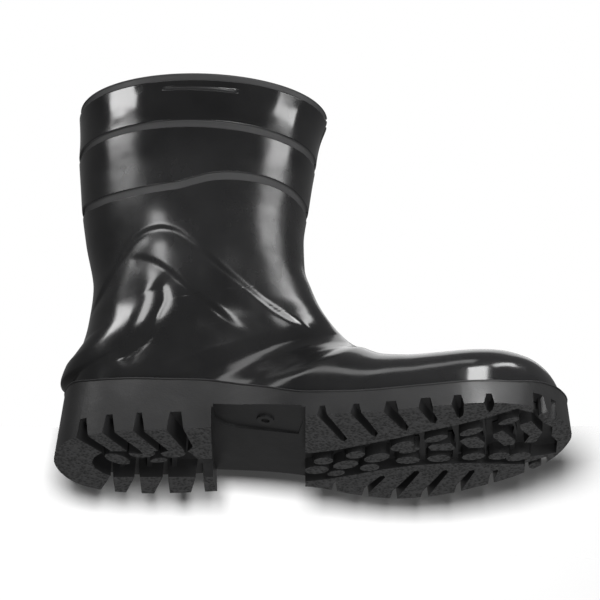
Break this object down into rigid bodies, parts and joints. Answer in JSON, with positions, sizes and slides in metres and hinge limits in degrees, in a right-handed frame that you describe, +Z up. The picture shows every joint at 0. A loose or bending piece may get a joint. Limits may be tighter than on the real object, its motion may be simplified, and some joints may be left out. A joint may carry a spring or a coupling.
{
  "type": "steel toe work boot",
  "caption": "Mid-calf moulded safety boot, left foot, with banded leg, lugged sole, steel toe cap and midsole, knitted lining and loose footbed.",
  "frame": {"origin": "middle of the boot's bounding box, on the ground under the sole", "axes": "+X towards the toe, +Y towards the outer side of the left foot, +Z up the leg"},
  "size_m": [0.3, 0.114, 0.2415],
  "materials": {
    "upper_pvc": "glossy black moulded PVC",
    "sole_rubber": "matte black rubber, fine moulded grain on the tread",
    "lining_knit": "grey knitted polyester",
    "binding_tape": "black woven tape",
    "cap_steel": "grey primed pressed steel",
    "edge_rubber": "soft black rubber strip",
    "fibre_board": "pressed cellulose fibre board",
    "cushion_foam": "yellow closed-cell foam",
    "footbed_foam": "dark grey moulded foam",
    "cover_fabric": "grey perforated mesh fabric"
  },
  "bodies": {
    "boot": {"upper": "upper_pvc", "outsole": "sole_rubber", "lining_sock": "lining_knit", "lining_top_tape": "binding_tape", "steel_toe_cap": "cap_steel", "toe_cap_edge_strip": "edge_rubber", "steel_midsole_plate": "cap_steel", "insole_board": "fibre_board", "heel_counter": "fibre_board", "heel_cushion_pad": "cushion_foam"},
    "loose_footbed": {"footbed": "footbed_foam", "footbed_cover": "cover_fabric"}
  },
  "joints": [
    {"name": "footbed_lift", "type": "hinge", "parent": "boot", "child": "loose_footbed", "pos_m": [0.128, 0, 0.022], "axis": [0, 1, 0], "range_deg": [0, 4.5]}
  ]
}
